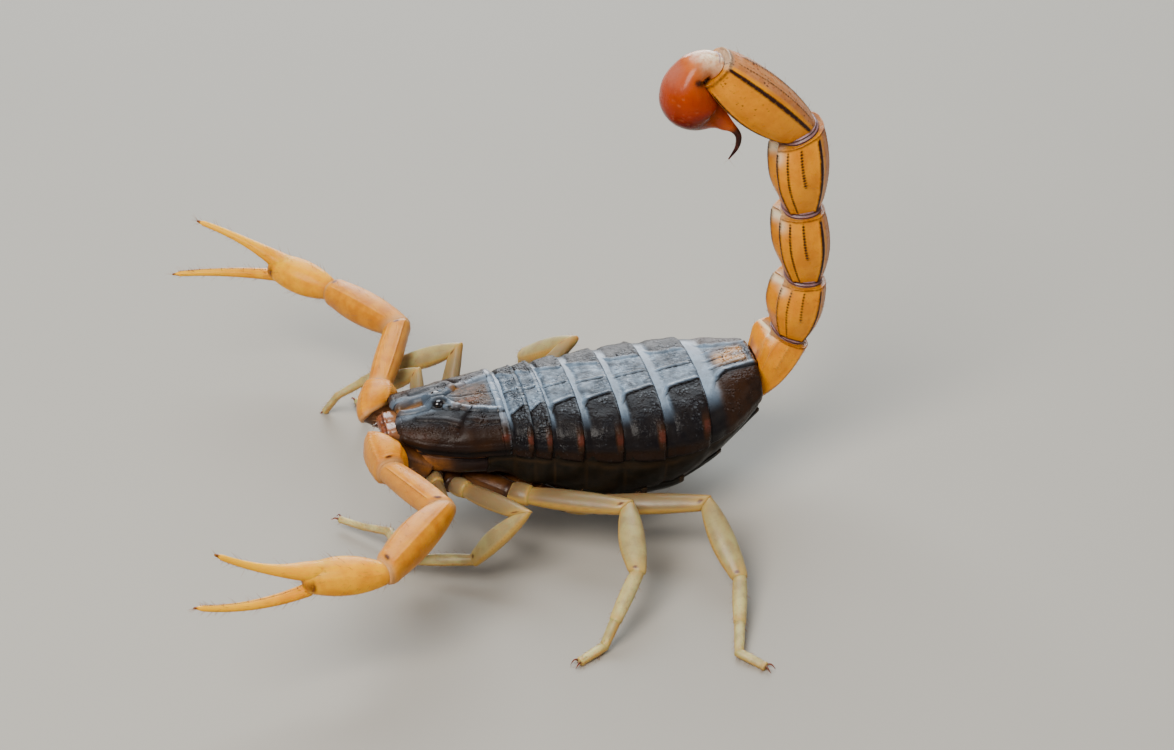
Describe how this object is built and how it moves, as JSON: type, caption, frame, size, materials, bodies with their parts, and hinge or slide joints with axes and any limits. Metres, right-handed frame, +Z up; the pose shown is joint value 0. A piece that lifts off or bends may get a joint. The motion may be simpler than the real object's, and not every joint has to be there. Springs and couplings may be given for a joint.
{
  "type": "indian red scorpion",
  "caption": "Life-size Indian red scorpion standing alert, open pincers held forward, legs spread on the floor and tail arched high over its back; a still display model with nothing that moves",
  "frame": {"origin": "on the floor, under the middle of the bounding box", "axes": "+X toward the tail along the body, which is the longest way across; +Y to the animal's right; +Z up"},
  "size_m": [0.051, 0.0476, 0.0374],
  "materials": {
    "shell": "granular blue-black horn with a satin sheen, red-brown at the margins",
    "belly": "near-black soft hide and plates, semi-matte",
    "hips": "dark red-brown horn, semi-gloss",
    "jaws": "red-brown horn with pale hairs, semi-gloss",
    "eyes": "black, glassy",
    "combs": "pale straw, matte",
    "tail": "amber horn with dark granulated keels, semi-gloss",
    "sting": "deep orange-red, glossy, black at the point",
    "pincers": "golden to orange-tan horn, satin",
    "legs": "pale straw, slightly translucent, satin"
  },
  "bodies": {
    "root": {"carapace": "shell", "tergite_1": "shell", "tergite_2": "shell", "tergite_3": "shell", "tergite_4": "shell", "tergite_5": "shell", "tergite_6": "shell", "tergite_7": "shell", "body_wall": "belly", "sternite_1": "belly", "sternite_2": "belly", "sternite_3": "belly", "sternite_4": "belly", "sternite_5": "belly", "coxosternum": "hips", "chelicera_left": "jaws", "chelicera_right": "jaws", "median_eye_left": "eyes", "median_eye_right": "eyes", "pectines": "combs", "metasoma_1": "tail", "metasoma_2": "tail", "metasoma_3": "tail", "metasoma_4": "tail", "metasoma_5": "tail", "telson": "sting", "left_pedipalp_trochanter": "pincers", "left_pedipalp_femur": "pincers", "left_pedipalp_patella": "pincers", "left_pedipalp_hand": "pincers", "left_pedipalp_finger": "pincers", "left_leg_1_femur": "legs", "left_leg_1_patella": "legs", "left_leg_1_tibia": "legs", "left_leg_2_femur": "legs", "left_leg_2_patella": "legs", "left_leg_2_tibia": "legs", "left_leg_3_femur": "legs", "left_leg_3_patella": "legs", "left_leg_3_tibia": "legs", "left_leg_4_femur": "legs", "left_leg_4_patella": "legs", "left_leg_4_tibia": "legs", "right_pedipalp_trochanter": "pincers", "right_pedipalp_femur": "pincers", "right_pedipalp_patella": "pincers", "right_pedipalp_hand": "pincers", "right_pedipalp_finger": "pincers", "right_leg_1_femur": "legs", "right_leg_1_patella": "legs", "right_leg_1_tibia": "legs", "right_leg_2_femur": "legs", "right_leg_2_patella": "legs", "right_leg_2_tibia": "legs", "right_leg_3_femur": "legs", "right_leg_3_patella": "legs", "right_leg_3_tibia": "legs", "right_leg_4_femur": "legs", "right_leg_4_patella": "legs", "right_leg_4_tibia": "legs"}
  },
  "joints": []
}
